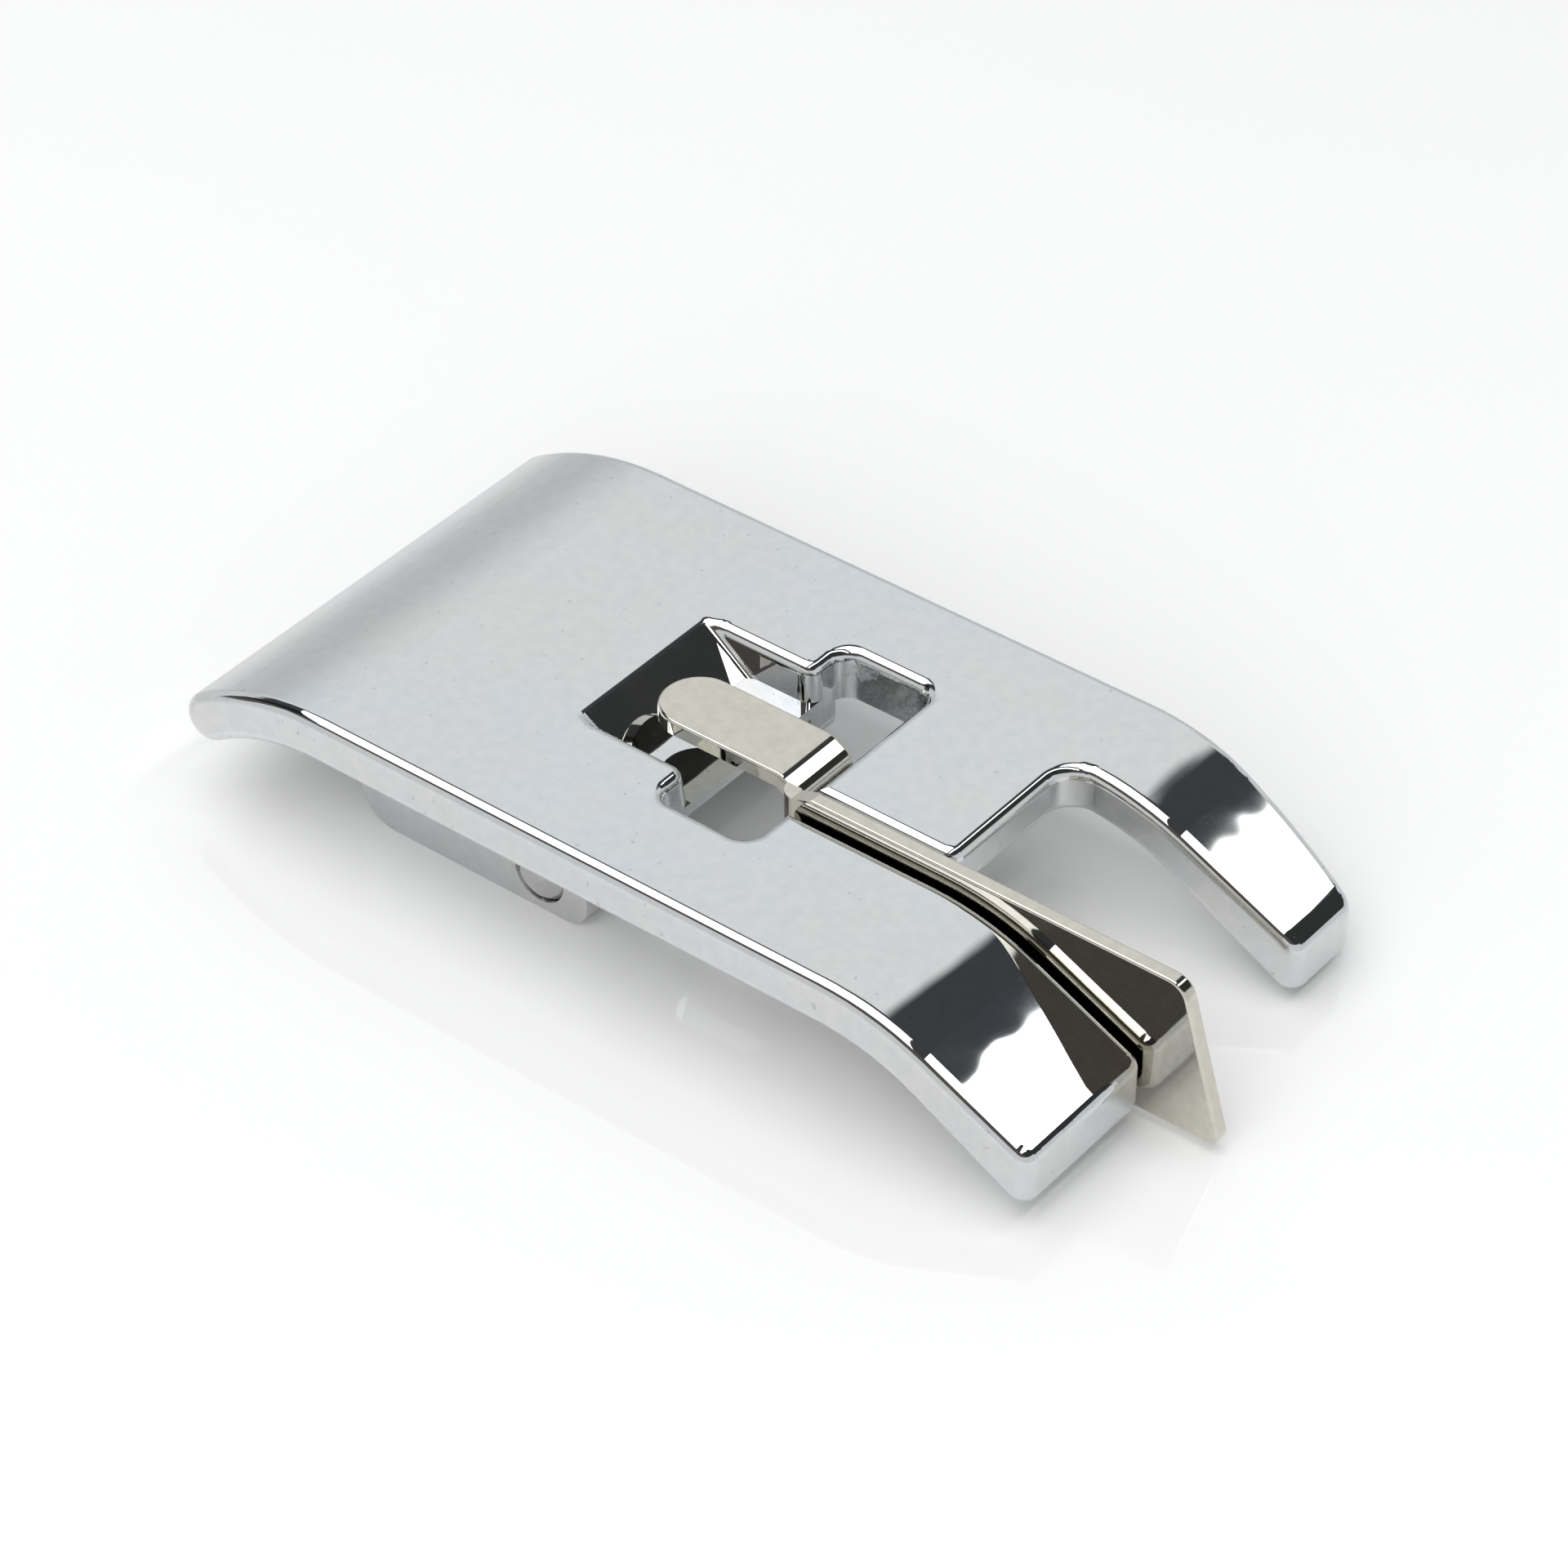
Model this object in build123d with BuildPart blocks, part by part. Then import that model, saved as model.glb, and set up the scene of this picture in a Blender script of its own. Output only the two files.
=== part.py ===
from build123d import *
import math
import os

# Clip-on overcasting foot lying sole up. Millimetres, toes towards -Y, floor at z = 0.

# Plate and its two bends
length = 33.5
width = 16.0
plate_thickness = 1.6
rim_radius = 0.4
heel_radius = 9.0
heel_angle = 34.0
toe_radius = 8.5
toe_angle = 25.5
toe_tip_height = 2.1

# Toes, slot and notch
fin_reach = 2.4
toe_length = 7.3
narrow_lead = 0.6
wide_toe_width = 5.45
slot_width = 1.15
narrow_toe_width = 3.9
notch_length = 7.53
notch_corner = 0.9
narrow_tip_inset = 1.0
narrow_taper = 6.5
toe_corner = 0.5
narrow_corner = 0.6
tip_roll = 0.65
roll_angle = 24.0
bridge_corner = 0.5

# Needle window behind the bridge, with a recess that climbs back to the sole
bridge_length = 5.0
window_width = 8.8
window_length = 3.4
window_corner = 0.6
recess_width = 5.8
recess_floor = 2.25
recess_depth = 1.25
ramp_length = 1.85
recess_corner = 0.5
wall_lean = 5.0
ramp_round = 0.2

# Lugs and snap bar
lug_span = 11.7
lug_thickness = 1.2
lug_length = 8.7
lug_setback = 4.8
lug_front_round = 0.8
lug_rear_round = 1.3
bar_radius = 0.9
bar_setback = 1.8
bar_height = 1.2
bar_chamfer = 0.15
press_clearance = 0.02

# Bent sheet guide
sheet = 0.5
fin_rise = 0.5
fin_clearance = 0.15
fin_foot = 0.3
fin_lean = 1.5
fin_nose = 0.7
fin_toe = 0.35
fin_heel = 2.6
shoulder_rise = 0.25
shoulder_length = 0.7
web_gap = 0.05
bend_inner = 0.05
fold_inner = 0.1
fold_flat = 0.4
fold_tilt = 30.0
crest_inner = 0.2
finger_rise = 0.35
finger_width = 2.45
finger_length = 5.95
tab_width = 4.2
tab_length = 3.4
tab_setback = 0.7
tab_corner = 0.6
tab_relief = 0.5
guide_edge = 0.1

# Riveting stud on the hidden face of the wide toe
stud_radius = 0.9
head_radius = 1.35
head_height = 0.45
head_round = 0.25
stud_clearance = 0.03

# Reach within which an edge or a corner counts as lying on a station
near = 0.01

# Lengthwise stations, from the fin's front end back to the heel
front_y = -length / 2
heel_y = length / 2
wide_tip_y = front_y + fin_reach
narrow_tip_y = wide_tip_y - narrow_lead
taper_y = narrow_tip_y + narrow_taper
toe_bend_y = wide_tip_y + toe_length
notch_y = wide_tip_y + notch_length
window_front_y = notch_y + bridge_length
window_step_y = window_front_y + window_length
ramp_foot_y = window_step_y + recess_floor
ramp_top_y = ramp_foot_y + ramp_length
lug_front_y = window_front_y + lug_setback
lug_rear_y = lug_front_y + lug_length
bar_y = lug_front_y + bar_setback

# Crosswise stations, +X is the narrow toe's side
side_x = width / 2
slot_left_x = -side_x + wide_toe_width
slot_right_x = slot_left_x + slot_width
notch_right_x = side_x - narrow_toe_width
narrow_tip_x = side_x - narrow_tip_inset
between_corners = (window_width + recess_width) / 4
wall_slope = math.tan(math.radians(wall_lean))
lug_outer_x = lug_span / 2
lug_inner_x = lug_outer_x - lug_thickness

# Heights: the narrow toe's tip and the lugs stand on the floor
toe_turn = math.radians(toe_angle)
toe_straight = toe_bend_y - narrow_tip_y - toe_radius * math.sin(toe_turn)
toe_drop = toe_radius * (1 - math.cos(toe_turn)) + toe_straight * math.tan(toe_turn)
sole_z = toe_drop + toe_tip_height
back_z = sole_z - plate_thickness
middle_z = sole_z - plate_thickness / 2

# The narrow toe's end rolls over from the toe's slope
roll_turn = math.radians(roll_angle)
roll_radius = tip_roll / (math.sin(toe_turn + roll_turn) - math.sin(toe_turn))
roll_y = narrow_tip_y + tip_roll
roll_z = sole_z - toe_drop + tip_roll * math.tan(toe_turn)

# The toes' back runs tangent from its own bend to the floor under the narrow tip
toe_inner = toe_radius - plate_thickness
tip_over = toe_bend_y - narrow_tip_y
tip_up = toe_radius - sole_z
tip_run = math.sqrt(tip_over**2 + tip_up**2 - toe_inner**2)
back_turn = math.atan2(tip_over, tip_up) - math.atan2(tip_run, toe_inner)

# The heel bend is placed so that its rounded end stops at heel_y
heel_turn = math.radians(heel_angle)
heel_inner = heel_radius - plate_thickness
heel_middle = heel_radius - plate_thickness / 2
heel_bend_y = heel_y - plate_thickness / 2 - heel_middle * math.sin(heel_turn)
heel_end_y = heel_bend_y + heel_radius * math.sin(heel_turn)

# Guide stations
fin_left_x = slot_left_x + fin_clearance
fin_right_x = fin_left_x + sheet
fin_top_z = sole_z + fin_rise
finger_top_z = sole_z + finger_rise
fin_slope = math.atan2(fin_lean, fin_top_z - fin_foot)
fin_corner_y = front_y - fin_toe * (math.tan(fin_slope) + 1 / math.cos(fin_slope) - 1)
web_front_y = window_front_y + web_gap
web_back_y = web_front_y + sheet
bend_outer = bend_inner + sheet
fold_outer = fold_inner + sheet
fin_rear_y = web_back_y - bend_outer
finger_left_x = fin_left_x + bend_outer
finger_right_x = finger_left_x + finger_width
finger_tip_y = web_front_y + finger_length
crest_outer = crest_inner + sheet
fold_turn = math.radians(fold_tilt)
crest_drop = crest_outer * (1 - math.cos(fold_turn))
crest_reach = crest_outer * math.sin(fold_turn)
fold_z = finger_top_z - crest_drop - fold_flat * math.sin(fold_turn) - fold_outer * math.cos(fold_turn)
fold_y = web_front_y + fold_outer
crest_y = fold_y - fold_outer * math.sin(fold_turn) + fold_flat * math.cos(fold_turn) + crest_reach
tab_rear_y = fin_rear_y - tab_setback
tab_front_y = tab_rear_y - tab_length
tab_root_x = fin_left_x - bend_inner
tab_root_z = back_z + bend_inner
stud_x = tab_root_x - tab_width / 2
stud_y = tab_rear_y - tab_length / 2
head_z = back_z - sheet - stud_clearance - head_height


def on_heel(radius, share):
    turn = heel_turn * share
    return (heel_bend_y + radius * math.sin(turn), sole_z - heel_radius + radius * math.cos(turn))


def on_toe(radius, turn):
    return (toe_bend_y - radius * math.sin(turn), sole_z - toe_radius + radius * math.cos(turn))


def on_roll(share):
    turn = toe_turn + roll_turn * share
    reach = roll_radius * (math.sin(turn) - math.sin(toe_turn))
    drop = roll_radius * (math.cos(toe_turn) - math.cos(turn))
    return (roll_y - reach, roll_z - drop)


def on_taper(share):
    radius = (narrow_taper**2 + narrow_tip_inset**2) / (2 * narrow_tip_inset)
    turn = share * math.asin(narrow_taper / radius)
    return (side_x - radius + radius * math.cos(turn), taper_y - radius * math.sin(turn))


def on_fold(radius):
    return (fold_y - radius * math.sin(fold_turn), fold_z + radius * math.cos(fold_turn))


def on_crest(radius):
    centre_z = finger_top_z - crest_outer
    return (crest_y - radius * math.sin(fold_turn), centre_z + radius * math.cos(fold_turn))


def is_window_corner(edge):
    return abs(edge.tangent_at().Z) > near and edge.center().Y < ramp_foot_y


def is_sole(face):
    middle = face.center()
    on_bends = middle.Y > heel_bend_y or middle.Y < toe_bend_y
    upward = face.normal_at().Z > math.cos(toe_turn + heel_turn)
    return upward and (on_bends or abs(middle.Z - sole_z) < near)


# Tool that cuts the window: through at the front, blind over the recess. All walls but the front one lean.
with BuildPart() as window_tool:
    with BuildSketch(Plane.XY):
        with BuildLine():
            Polyline(
                (-window_width / 2, window_front_y),
                (window_width / 2, window_front_y),
                (window_width / 2, window_step_y),
                (recess_width / 2, window_step_y),
                (recess_width / 2, ramp_top_y + 2 * ramp_length),
                (-recess_width / 2, ramp_top_y + 2 * ramp_length),
                (-recess_width / 2, window_step_y),
                (-window_width / 2, window_step_y),
                close=True,
            )
        make_face()
    extrude(amount=2 * sole_z)
    walls = window_tool.faces().filter_by(lambda f: abs(f.normal_at().Z) < near)
    walls = walls.filter_by(lambda f: f.center().Y > window_front_y + near)
    draft(walls, Plane.XY.offset(sole_z), -wall_lean)
    corners = window_tool.edges().filter_by(is_window_corner)
    fillet(corners.filter_by(lambda e: abs(e.center().X) > between_corners), window_corner)
    corners = window_tool.edges().filter_by(is_window_corner)
    fillet(corners.filter_by(lambda e: abs(e.center().X) < between_corners), recess_corner)
    with BuildSketch(Plane.YZ):
        with BuildLine():
            Polyline(
                (window_front_y, 0),
                (window_step_y - sole_z * wall_slope, 0),
                (window_step_y - recess_depth * wall_slope, sole_z - recess_depth),
                (ramp_foot_y, sole_z - recess_depth),
                (ramp_top_y + ramp_length, sole_z + recess_depth),
                (window_front_y, sole_z + recess_depth),
                close=True,
            )
        make_face()
    extrude(amount=side_x, both=True, mode=Mode.INTERSECT)
    ramp_edges = window_tool.edges().filter_by(lambda e: e.center().Y > ramp_foot_y - near)
    ramp_edges = ramp_edges.filter_by(lambda e: e.center().Z < sole_z + near)
    fillet(ramp_edges, ramp_round)


with BuildPart() as foot_body:
    # Side profile of the bent plate, drawn across the full width
    with BuildSketch(Plane.YZ):
        with BuildLine():
            Line((narrow_tip_y, 0), on_roll(1))
            ThreePointArc(on_roll(1), on_roll(0.5), on_roll(0))
            Line(on_roll(0), on_toe(toe_radius, toe_turn))
            ThreePointArc(
                on_toe(toe_radius, toe_turn),
                on_toe(toe_radius, toe_turn / 2),
                on_toe(toe_radius, 0),
            )
            Line(on_toe(toe_radius, 0), on_heel(heel_radius, 0))
            ThreePointArc(on_heel(heel_radius, 0), on_heel(heel_radius, 0.5), on_heel(heel_radius, 1))
            end_y, end_z = on_heel(heel_middle, 1)
            end_reach = plate_thickness / 2
            end_point = (end_y + end_reach * math.cos(heel_turn), end_z - end_reach * math.sin(heel_turn))
            ThreePointArc(on_heel(heel_radius, 1), end_point, on_heel(heel_inner, 1))
            ThreePointArc(on_heel(heel_inner, 1), on_heel(heel_inner, 0.5), on_heel(heel_inner, 0))
            Line(on_heel(heel_inner, 0), on_toe(toe_inner, 0))
            ThreePointArc(
                on_toe(toe_inner, 0),
                on_toe(toe_inner, back_turn / 2),
                on_toe(toe_inner, back_turn),
            )
            Line(on_toe(toe_inner, back_turn), (narrow_tip_y, 0))
        make_face()
    extrude(amount=side_x, both=True)

    # Plan outline: both toes, slot and notch
    with BuildSketch(Plane.XY) as plan:
        with BuildLine():
            Polyline(
                (-side_x, heel_y + plate_thickness),
                (-side_x, wide_tip_y),
                (slot_left_x, wide_tip_y),
                (slot_left_x, window_front_y),
                (slot_right_x, window_front_y),
                (slot_right_x, notch_y),
                (notch_right_x, notch_y),
                (notch_right_x, narrow_tip_y),
                (narrow_tip_x, narrow_tip_y),
            )
            ThreePointArc((narrow_tip_x, narrow_tip_y), on_taper(0.5), (side_x, taper_y))
            Polyline(
                (side_x, taper_y),
                (side_x, heel_y + plate_thickness),
                (-side_x, heel_y + plate_thickness),
            )
        make_face()
        fillet(plan.vertices().sort_by_distance((narrow_tip_x, narrow_tip_y))[0], narrow_corner)
        fillet(plan.vertices().sort_by_distance((notch_right_x, narrow_tip_y))[0], toe_corner)
        fillet(plan.vertices().sort_by_distance((-side_x, wide_tip_y))[0], toe_corner)
        fillet(plan.vertices().sort_by_distance((slot_left_x, wide_tip_y))[0], toe_corner)
        fillet(plan.vertices().sort_by_distance((notch_right_x, notch_y))[0], notch_corner)
        fillet(plan.vertices().sort_by_distance((slot_right_x, notch_y))[0], bridge_corner)
    extrude(amount=2 * sole_z, mode=Mode.INTERSECT)
    add(window_tool.part, mode=Mode.SUBTRACT)

    # Rounded rim around the sole, the window and both toes; the heel's end keeps its own rounding
    sole_faces = foot_body.faces().filter_by(is_sole)
    seams = [edge for face in sole_faces for edge in face.edges()]
    rim = [edge for edge in seams if sum(edge.is_same(other) for other in seams) == 1]
    fillet([edge for edge in rim if edge.center().Y < heel_end_y - near], rim_radius)

    # Two lugs under the plate, bored for the snap bar
    with BuildSketch(Plane.YZ.offset(lug_inner_x), Plane.YZ.offset(-lug_outer_x)) as lug_sides:
        with BuildLine():
            Polyline(
                (lug_front_y, middle_z),
                (lug_front_y, 0),
                (lug_rear_y, 0),
                (lug_rear_y, middle_z),
                close=True,
            )
        make_face()
    extrude(amount=lug_thickness)
    feet = foot_body.edges().filter_by(Axis.X).filter_by(lambda e: abs(e.center().Z) < near)
    feet = feet.filter_by(lambda e: e.center().Y > window_front_y)
    fillet(feet.filter_by(lambda e: e.center().Y < bar_y), lug_front_round)
    feet = foot_body.edges().filter_by(Axis.X).filter_by(lambda e: abs(e.center().Z) < near)
    fillet(feet.filter_by(lambda e: e.center().Y > lug_rear_y - near), lug_rear_round)
    with Locations((0, bar_y, bar_height)):
        Cylinder(bar_radius + press_clearance, width, rotation=(0, 90, 0), mode=Mode.SUBTRACT)

    # Stud under the wide toe, spread over the guide's tab
    with BuildSketch(Plane.XY.offset(head_z)):
        with Locations((stud_x, stud_y)):
            Circle(stud_radius)
    extrude(amount=middle_z - head_z)
    with BuildSketch(Plane.XY.offset(head_z)):
        with Locations((stud_x, stud_y)):
            Circle(head_radius)
    extrude(amount=head_height)
    crown = foot_body.edges().filter_by(GeomType.CIRCLE)
    fillet(crown.filter_by(lambda e: abs(e.center().Z - head_z) < near), head_round)


with BuildPart() as snap_bar:
    with BuildSketch(Plane.YZ.offset(-lug_outer_x)):
        with Locations((bar_y, bar_height)):
            Circle(bar_radius)
    extrude(amount=lug_span)
    chamfer(snap_bar.edges().filter_by(GeomType.CIRCLE), bar_chamfer)


# Strip of the guide that runs up the window's front wall, folds over a short flat and ends in a round tip
with BuildPart() as finger:
    with BuildSketch(Plane.YZ.offset(finger_left_x)):
        with BuildLine():
            Line((web_front_y, back_z), (web_front_y, fold_z))
            RadiusArc((web_front_y, fold_z), on_fold(fold_outer), fold_outer)
            Line(on_fold(fold_outer), on_crest(crest_outer))
            RadiusArc(on_crest(crest_outer), (crest_y, finger_top_z), crest_outer)
            Line((crest_y, finger_top_z), (finger_tip_y, finger_top_z))
            Line((finger_tip_y, finger_top_z), (finger_tip_y, finger_top_z - sheet))
            Line((finger_tip_y, finger_top_z - sheet), (crest_y, finger_top_z - sheet))
            RadiusArc((crest_y, finger_top_z - sheet), on_crest(crest_inner), -crest_inner)
            Line(on_crest(crest_inner), on_fold(fold_inner))
            RadiusArc(on_fold(fold_inner), (web_back_y, fold_z), -fold_inner)
            Line((web_back_y, fold_z), (web_back_y, back_z))
            Line((web_back_y, back_z), (web_front_y, back_z))
        make_face()
    extrude(amount=finger_width)
    with BuildSketch(Plane.XY):
        with BuildLine():
            round_y = finger_tip_y - finger_width / 2
            Polyline(
                (finger_left_x, round_y),
                (finger_left_x, web_front_y),
                (finger_right_x, web_front_y),
                (finger_right_x, round_y),
            )
            ThreePointArc(
                (finger_right_x, round_y),
                (finger_left_x + finger_width / 2, finger_tip_y),
                (finger_left_x, round_y),
            )
        make_face()
    extrude(amount=2 * sole_z, mode=Mode.INTERSECT)
    outline = finger.edges().filter_by(lambda e: abs(e.center().Z - finger_top_z) < near)
    fillet(outline.filter_by(lambda e: e.center().Y > crest_y + near), guide_edge)


with BuildPart() as edge_guide:
    # Fin: tall plate through the slot, leaning forward at its front end
    with BuildSketch(Plane.YZ.offset(fin_left_x)) as fin:
        with BuildLine():
            Polyline(
                (fin_rear_y, tab_root_z),
                (fin_rear_y, sole_z + shoulder_rise),
                (fin_rear_y - shoulder_length, fin_top_z),
                (fin_corner_y + fin_lean, fin_top_z),
                (fin_corner_y, fin_foot),
                (wide_tip_y + fin_heel, fin_foot),
                (tab_front_y - tab_relief, back_z - sheet),
                (tab_front_y - tab_relief, tab_root_z),
                close=True,
            )
        make_face()
        fillet(fin.vertices().sort_by_distance((fin_corner_y + fin_lean, fin_top_z))[0], fin_nose)
        fillet(fin.vertices().sort_by_distance((fin_corner_y, fin_foot))[0], fin_toe)
    extrude(amount=sheet)
    crest = edge_guide.edges().filter_by(Axis.Y).filter_by(lambda e: abs(e.center().Z - fin_top_z) < near)
    fillet(crest, guide_edge)

    # Vertical bend from the fin into the web
    with BuildSketch(Plane.XY.offset(back_z)):
        with BuildLine():
            bend_x = fin_left_x + bend_outer
            Line((fin_left_x, fin_rear_y), (fin_right_x, fin_rear_y))
            RadiusArc((fin_right_x, fin_rear_y), (bend_x, web_front_y), bend_inner)
            Line((bend_x, web_front_y), (bend_x, web_back_y))
            RadiusArc((bend_x, web_back_y), (fin_left_x, fin_rear_y), -bend_outer)
        make_face()
    extrude(amount=plate_thickness + shoulder_rise)

    add(finger.part)

    # Tab folded under the wide toe, with its rivet hole
    with BuildSketch(Plane.XZ.offset(-tab_rear_y)):
        with BuildLine():
            Line((fin_left_x, tab_root_z), (fin_right_x, tab_root_z))
            RadiusArc((fin_right_x, tab_root_z), (tab_root_x, back_z - sheet), bend_outer)
            Line((tab_root_x, back_z - sheet), (tab_root_x, back_z))
            RadiusArc((tab_root_x, back_z), (fin_left_x, tab_root_z), -bend_inner)
        make_face()
    extrude(amount=tab_length)
    with BuildSketch(Plane.XY.offset(back_z - sheet)) as tab:
        with Locations((tab_root_x, tab_rear_y)):
            Rectangle(tab_width, tab_length, align=(Align.MAX, Align.MAX))
        fillet(tab.vertices().filter_by(lambda v: v.X < tab_root_x - near), tab_corner)
        with Locations((stud_x, stud_y)):
            Circle(stud_radius + stud_clearance, mode=Mode.SUBTRACT)
    extrude(amount=sheet)


foot_body.part.label = "foot_body"
snap_bar.part.label = "snap_bar"
edge_guide.part.label = "edge_guide"
os.makedirs("parts", exist_ok=True)
export_step(foot_body.part, "parts/foot_body.step")
export_step(snap_bar.part, "parts/snap_bar.step")
export_step(edge_guide.part, "parts/edge_guide.step")
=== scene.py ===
import math

import bpy
from mathutils import Matrix, Vector


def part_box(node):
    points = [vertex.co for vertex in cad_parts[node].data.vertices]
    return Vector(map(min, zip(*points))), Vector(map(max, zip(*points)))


MM = 0.001

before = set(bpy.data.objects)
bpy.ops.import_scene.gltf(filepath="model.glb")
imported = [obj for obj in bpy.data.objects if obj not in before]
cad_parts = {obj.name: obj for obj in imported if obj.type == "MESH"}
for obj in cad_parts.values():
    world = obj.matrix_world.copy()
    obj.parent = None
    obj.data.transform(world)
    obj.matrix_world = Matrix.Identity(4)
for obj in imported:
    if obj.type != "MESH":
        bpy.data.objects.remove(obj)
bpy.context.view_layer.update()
sole_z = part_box("foot_body")[1].z

# Casting: the window's wide part, the bend of the toes along Y, and the lean up to which a wall is upright
window_half = 4.7 * MM
window_edge = 0.1 * MM
window_stretch = (-1.9 * MM, 1.25 * MM)
window_fade = 0.15 * MM
bend_stretch = (-9.9 * MM, -8.0 * MM)
bend_fade = 0.5 * MM
upright_lean = (0.25, 0.5)

# Grain of the surfaces, in noise cells per metre, and the noise levels that make full contrast
mottle_grain = 2400.0
drift_grain = 150.0
pit_grain = 5200.0
polish_grain = 350.0
wave_grain = 420.0
lump_grain = 260.0
crust_grain = 1100.0
sheet_grain = 2600.0
sheet_polish_grain = 600.0
bar_grain = 900.0
table_grain = 8.0
bar_stretch = (6.0, 1.0, 1.0)
noise_span = (0.3, 0.7)
drift_span = (0.37, 0.63)
pit_span = (0.81, 0.84)
polish_span = (0.35, 0.75)
noise_middle = 0.5

# Heights of the bumps
wave_height = 0.008 * MM
lump_height = 0.12 * MM
crust_height = 0.04 * MM
bar_line_height = 0.005 * MM
bar_line_strength = 0.2

# Colours and polish
cool_plate = ((0.637, 0.664, 0.682, 1.0), (0.673, 0.7, 0.718, 1.0))
warm_plate = ((0.661, 0.663, 0.653, 1.0), (0.697, 0.699, 0.689, 1.0))
pit_colour = (0.25, 0.25, 0.25, 1.0)
pit_share = 0.3
plate_roughness = (0.018, 0.034)
crust_roughness = 0.12
nickel_tones = ((0.60, 0.575, 0.505, 1.0), (0.66, 0.635, 0.565, 1.0))
nickel_roughness = (0.035, 0.06)
bar_tones = ((0.52, 0.52, 0.51, 1.0), (0.62, 0.62, 0.61, 1.0))
bar_roughness = (0.18, 0.3)
table_tones = ((0.93, 0.93, 0.93, 1.0), (0.95, 0.95, 0.95, 1.0))
table_roughness = 0.04
table_specular = 0.35
table_size = 1.2

# Studio walls: turns about the foot from +X, tilts above the table, slopes as reach per unit of height
far_turns = (math.radians(3), math.radians(68))
far_soft = math.radians(4)
far_edge_slopes = (0.5, 0.6)
far_tilts = (math.radians(13), math.radians(39))
far_levels = (0.655, 0.955)
far_base_tilt = math.radians(10)
far_base_glow = 0.05
wall_tilt = math.radians(27)
wall_fade = math.radians(6)
wall_level = 0.78
rear_turns = (math.radians(98), math.radians(123))
rear_soft = math.radians(3)
rear_cut = math.radians(19)
near_right_turns = (math.radians(-62), math.radians(-18))
near_right_soft = math.radians(5)
near_right_cut = math.radians(10)
low_front_slopes = (-0.52, -0.46)
left_slopes = (-3.0, -0.7)
left_soft = 0.1
least_rise = 0.05
wall_colour = (0.965, 0.985, 1.0, 1.0)
gap_colour = (0.06, 0.064, 0.07, 1.0)
low_front_gap = (0.04, 0.042, 0.042, 1.0)
rear_gap = (0.02, 0.02, 0.02, 1.0)
left_gap = (0.112, 0.098, 0.09, 1.0)

# Fill lamp: direction from the foot, distance, size and radiance
fill_turn = math.radians(195)
fill_tilt = math.radians(33)
fill_reach = 0.5
fill_width = 0.58
fill_depth = 0.40
fill_radiance = 1.6

# Camera at the photograph's viewing angle
camera_turn = math.radians(-141.70)
camera_tilt = math.radians(39.02)
camera_reach = 151.06 * MM
camera_target = Vector((-1.762 * MM, -1.052 * MM, sole_z))
camera_lens = 121.6
camera_sensor = 36.0
camera_clip = 5 * MM


def add_node(tree, kind, **settings):
    made = tree.nodes.new(kind)
    for name, value in settings.items():
        setattr(made, name, value)
    return made


def feed(tree, socket, source):
    if hasattr(source, "is_output"):
        tree.links.new(source, socket)
    else:
        socket.default_value = source


def maths(tree, operation, *values):
    made = add_node(tree, "ShaderNodeMath", operation=operation)
    for socket, value in zip(made.inputs, values):
        feed(tree, socket, value)
    return made.outputs[0]


def split_xyz(tree, vector):
    made = add_node(tree, "ShaderNodeSeparateXYZ")
    tree.links.new(vector, made.inputs[0])
    return made.outputs


def step(tree, value, low, high, to_low=0.0, to_high=1.0):
    made = add_node(tree, "ShaderNodeMapRange", interpolation_type="SMOOTHSTEP")
    feed(tree, made.inputs["Value"], value)
    made.inputs["From Min"].default_value = low
    made.inputs["From Max"].default_value = high
    made.inputs["To Min"].default_value = to_low
    made.inputs["To Max"].default_value = to_high
    return made.outputs["Result"]


def band(tree, value, low, high, soft):
    rising = step(tree, value, low - soft, low + soft)
    falling = step(tree, value, high - soft, high + soft, 1.0, 0.0)
    return maths(tree, "MULTIPLY", rising, falling)


# The Mix node repeats its socket names for each data type, so its colour sockets go by number
def mix_colour(tree, factor, first, second):
    made = add_node(tree, "ShaderNodeMix", data_type="RGBA")
    feed(tree, made.inputs[0], factor)
    feed(tree, made.inputs[6], first)
    feed(tree, made.inputs[7], second)
    return made.outputs[2]


def noise(tree, place, scale, detail=2.0, roughness=0.5):
    made = add_node(tree, "ShaderNodeTexNoise")
    tree.links.new(place, made.inputs["Vector"])
    made.inputs["Scale"].default_value = scale
    made.inputs["Detail"].default_value = detail
    made.inputs["Roughness"].default_value = roughness
    return made.outputs["Fac"]


def bump(tree, height, distance, normal=None, strength=1.0):
    made = add_node(tree, "ShaderNodeBump")
    tree.links.new(height, made.inputs["Height"])
    made.inputs["Strength"].default_value = strength
    made.inputs["Distance"].default_value = distance
    if normal is not None:
        tree.links.new(normal, made.inputs["Normal"])
    return made.outputs["Normal"]


# Slight waves of a polished surface
def polish_waves(tree, place):
    return bump(tree, noise(tree, place, wave_grain, detail=1.0, roughness=0.4), wave_height)


def new_material(name):
    material = bpy.data.materials.new(name)
    material.use_nodes = True
    tree = material.node_tree
    shader = tree.nodes["Principled BSDF"]
    place = add_node(tree, "ShaderNodeTexCoord").outputs["Object"]
    return material, tree, shader, place


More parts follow.
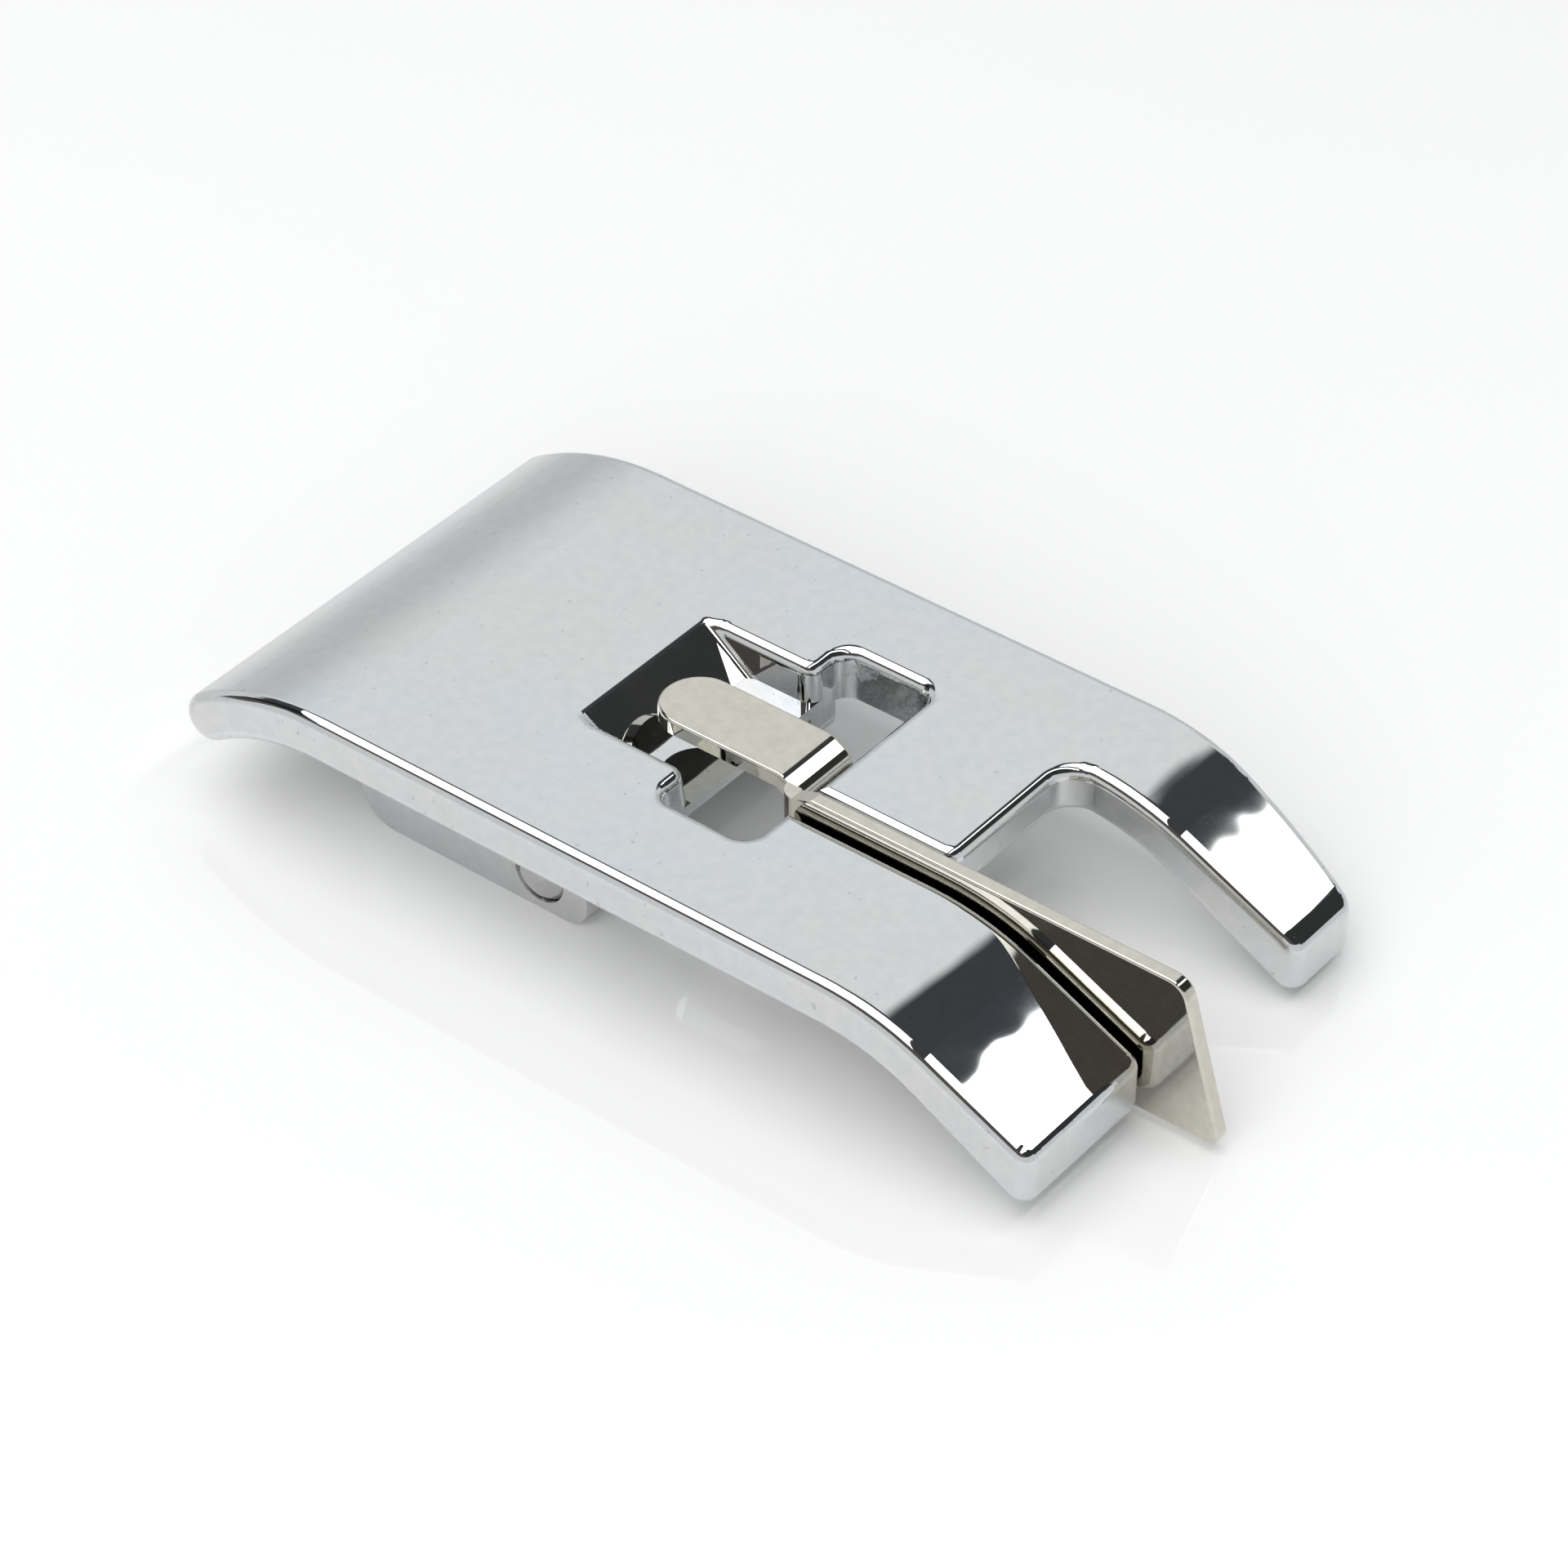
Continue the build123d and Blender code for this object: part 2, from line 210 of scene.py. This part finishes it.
def plated_casting():
    material, tree, shader, place = new_material("plated_casting")
    x, y, _ = split_xyz(tree, place)
    _, _, facing_up = split_xyz(tree, add_node(tree, "ShaderNodeNewGeometry").outputs["True Normal"])

    # Walls of the window's wide part keep the rough skin of the casting under the plating
    upright = step(tree, maths(tree, "ABSOLUTE", facing_up), *upright_lean, 1.0, 0.0)
    across = band(tree, x, -window_half, window_half, window_edge)
    along = band(tree, y, *window_stretch, window_fade)
    skin = maths(tree, "MULTIPLY", upright, maths(tree, "MULTIPLY", across, along))

    # The plate's tone drifts between cool and warm, with a fine mottle and a few tiny pits
    fine = step(tree, noise(tree, place, mottle_grain, detail=3.0, roughness=0.6), *noise_span)
    drift = step(tree, noise(tree, place, drift_grain, detail=5.0, roughness=0.75), *drift_span)
    colour = mix_colour(tree, drift, mix_colour(tree, fine, *cool_plate), mix_colour(tree, fine, *warm_plate))
    pits = step(tree, noise(tree, place, pit_grain, detail=0.0), *pit_span, 0.0, pit_share)
    tree.links.new(mix_colour(tree, pits, colour, pit_colour), shader.inputs["Base Color"])

    polish = step(tree, noise(tree, place, polish_grain), *polish_span, *plate_roughness)
    roughness = maths(tree, "ADD", polish, maths(tree, "MULTIPLY", skin, crust_roughness))
    tree.links.new(roughness, shader.inputs["Roughness"])
    shader.inputs["Metallic"].default_value = 1.0

    # Hand polishing leaves slight waves, and stronger ones on the bend of the toes
    lumps = maths(tree, "SUBTRACT", noise(tree, place, lump_grain, detail=1.0, roughness=0.4), noise_middle)
    lumps = maths(tree, "MULTIPLY", lumps, band(tree, y, *bend_stretch, bend_fade))
    waves = bump(tree, lumps, lump_height, polish_waves(tree, place))
    crust = maths(tree, "MULTIPLY", noise(tree, place, crust_grain, detail=3.0, roughness=0.6), skin)
    tree.links.new(bump(tree, crust, crust_height, waves), shader.inputs["Normal"])
    return material


def nickel_sheet():
    material, tree, shader, place = new_material("nickel_sheet")
    mottle = step(tree, noise(tree, place, sheet_grain, detail=3.0, roughness=0.65), *noise_span)
    tree.links.new(mix_colour(tree, mottle, *nickel_tones), shader.inputs["Base Color"])
    polish = step(tree, noise(tree, place, sheet_polish_grain), *noise_span, *nickel_roughness)
    tree.links.new(polish, shader.inputs["Roughness"])
    shader.inputs["Metallic"].default_value = 1.0
    tree.links.new(polish_waves(tree, place), shader.inputs["Normal"])
    return material


def bar_steel():
    material, tree, shader, place = new_material("bar_steel")
    stretched = add_node(tree, "ShaderNodeMapping")
    tree.links.new(place, stretched.inputs["Vector"])
    stretched.inputs["Scale"].default_value = bar_stretch
    lines = noise(tree, stretched.outputs[0], bar_grain, detail=2.0, roughness=0.6)
    tree.links.new(mix_colour(tree, step(tree, lines, *noise_span), *bar_tones), shader.inputs["Base Color"])
    tree.links.new(step(tree, lines, *noise_span, *bar_roughness), shader.inputs["Roughness"])
    shader.inputs["Metallic"].default_value = 1.0
    ridges = bump(tree, lines, bar_line_height, strength=bar_line_strength)
    tree.links.new(ridges, shader.inputs["Normal"])
    return material


def dress(node, material):
    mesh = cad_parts[node].data
    mesh.materials.clear()
    mesh.materials.append(material)


dress("foot_body", plated_casting())
dress("edge_guide", nickel_sheet())
dress("snap_bar", bar_steel())


# White glossy table
def table_material():
    material, tree, shader, place = new_material("white_table")
    tone = step(tree, noise(tree, place, table_grain), *noise_span)
    tree.links.new(mix_colour(tree, tone, *table_tones), shader.inputs["Base Color"])
    shader.inputs["Roughness"].default_value = table_roughness
    shader.inputs["Specular IOR Level"].default_value = table_specular
    return material


table_mesh = bpy.data.meshes.new("table")
half = table_size / 2
corners = [(-half, -half, 0), (half, -half, 0), (half, half, 0), (-half, half, 0)]
table_mesh.from_pydata(corners, [], [(0, 1, 2, 3)])
table = bpy.data.objects.new("table", table_mesh)
bpy.context.scene.collection.objects.link(table)
table_mesh.materials.append(table_material())


# Studio around the table: a pale far wall, low pale walls elsewhere and dark gaps up to the overhead lights
def studio_world():
    world = bpy.data.worlds.new("studio")
    world.use_nodes = True
    bpy.context.scene.world = world
    tree = world.node_tree
    x, y, z = split_xyz(tree, add_node(tree, "ShaderNodeTexCoord").outputs["Generated"])
    turn = maths(tree, "ARCTAN2", y, x)
    tilt = maths(tree, "ARCSINE", z)

    # Slopes stop growing near the horizon
    rise = maths(tree, "MAXIMUM", z, least_rise)
    x_slope = maths(tree, "DIVIDE", x, rise)
    y_slope = maths(tree, "DIVIDE", y, rise)

    far_side = band(tree, turn, *far_turns, far_soft)
    far_side = maths(tree, "MULTIPLY", far_side, step(tree, x_slope, *far_edge_slopes))
    far_glow = step(tree, tilt, *far_tilts, *far_levels)
    base_glow = step(tree, tilt, 0.0, far_base_tilt, far_base_glow, 0.0)
    far_wall = maths(tree, "MULTIPLY", far_side, maths(tree, "ADD", far_glow, base_glow))

    # The low walls reach less high at the rear and to the right of the toes
    rear = band(tree, turn, *rear_turns, rear_soft)
    near_right = band(tree, turn, *near_right_turns, near_right_soft)
    wall_top = maths(tree, "MULTIPLY_ADD", rear, -rear_cut, wall_tilt)
    wall_top = maths(tree, "MULTIPLY_ADD", near_right, -near_right_cut, wall_top)
    over_top = maths(tree, "SUBTRACT", tilt, wall_top)
    low_wall = step(tree, over_top, 0.0, wall_fade, wall_level, 0.0)
    elsewhere = maths(tree, "SUBTRACT", 1.0, far_side)
    lit = maths(tree, "MULTIPLY_ADD", low_wall, elsewhere, far_wall)

    low_front = step(tree, y_slope, *low_front_slopes, 1.0, 0.0)
    gap = mix_colour(tree, low_front, gap_colour, low_front_gap)
    gap = mix_colour(tree, rear, gap, rear_gap)
    gap = mix_colour(tree, band(tree, x_slope, *left_slopes, left_soft), gap, left_gap)
    background = tree.nodes["Background"]
    tree.links.new(mix_colour(tree, lit, gap, wall_colour), background.inputs["Color"])
    background.inputs["Strength"].default_value = 1.0


studio_world()


# Direction from the foot, by its turn from +X and its tilt above the table
def direction(turn, tilt):
    return Vector((math.cos(turn) * math.cos(tilt), math.sin(turn) * math.cos(tilt), math.sin(tilt)))


def area_light(name, centre, along, across, width, depth, radiance):
    lamp = bpy.data.lights.new(name, "AREA")
    lamp.shape = "RECTANGLE"
    lamp.size = width
    lamp.size_y = depth
    lamp.energy = radiance * width * depth * math.pi
    made = bpy.data.objects.new(name, lamp)
    bpy.context.scene.collection.objects.link(made)
    side = Vector(along).normalized()
    front = Vector(across).normalized()
    out = side.cross(front)
    turned = Matrix((side, front, out)).transposed().to_4x4()
    made.matrix_world = Matrix.Translation(centre) @ turned
    made.visible_camera = False
    return made


# Level lamp above the foot; its edges are slopes from the foot, per unit of height
def overhead_light(name, height, x_slopes, y_slopes, radiance):
    low_x, high_x = x_slopes
    low_y, high_y = y_slopes
    centre = Vector((low_x + high_x, low_y + high_y, 2.0)) * height / 2
    size = Vector((high_x - low_x, high_y - low_y)) * height
    area_light(name, centre, (1, 0, 0), (0, 1, 0), size.x, size.y, radiance)


# Overhead light, with a narrow panel in front of it
overhead_light("overhead", height=0.5, x_slopes=(-0.785, 0.33), y_slopes=(-0.20, 0.90), radiance=1.93)
overhead_light("front_panel", height=0.4, x_slopes=(-0.65, 1.15), y_slopes=(-0.50, -0.3545), radiance=3.5)

# Broad fill from the left of the camera for the shadows; the metal doesn't mirror it
toward = direction(fill_turn, fill_tilt)
level = direction(fill_turn + math.pi / 2, 0.0)
upward = toward.cross(level)
fill = area_light("fill", toward * fill_reach, level, upward, fill_width, fill_depth, fill_radiance)
fill.visible_glossy = False

back = direction(camera_turn, camera_tilt)
camera_data = bpy.data.cameras.new("camera")
camera_data.lens = camera_lens
camera_data.sensor_width = camera_sensor
camera_data.clip_start = camera_clip
camera = bpy.data.objects.new("camera", camera_data)
bpy.context.scene.collection.objects.link(camera)
camera.location = camera_target + back * camera_reach
camera.rotation_euler = back.to_track_quat("Z", "Y").to_euler()
bpy.context.scene.camera = camera

bpy.context.scene.view_settings.view_transform = "Standard"
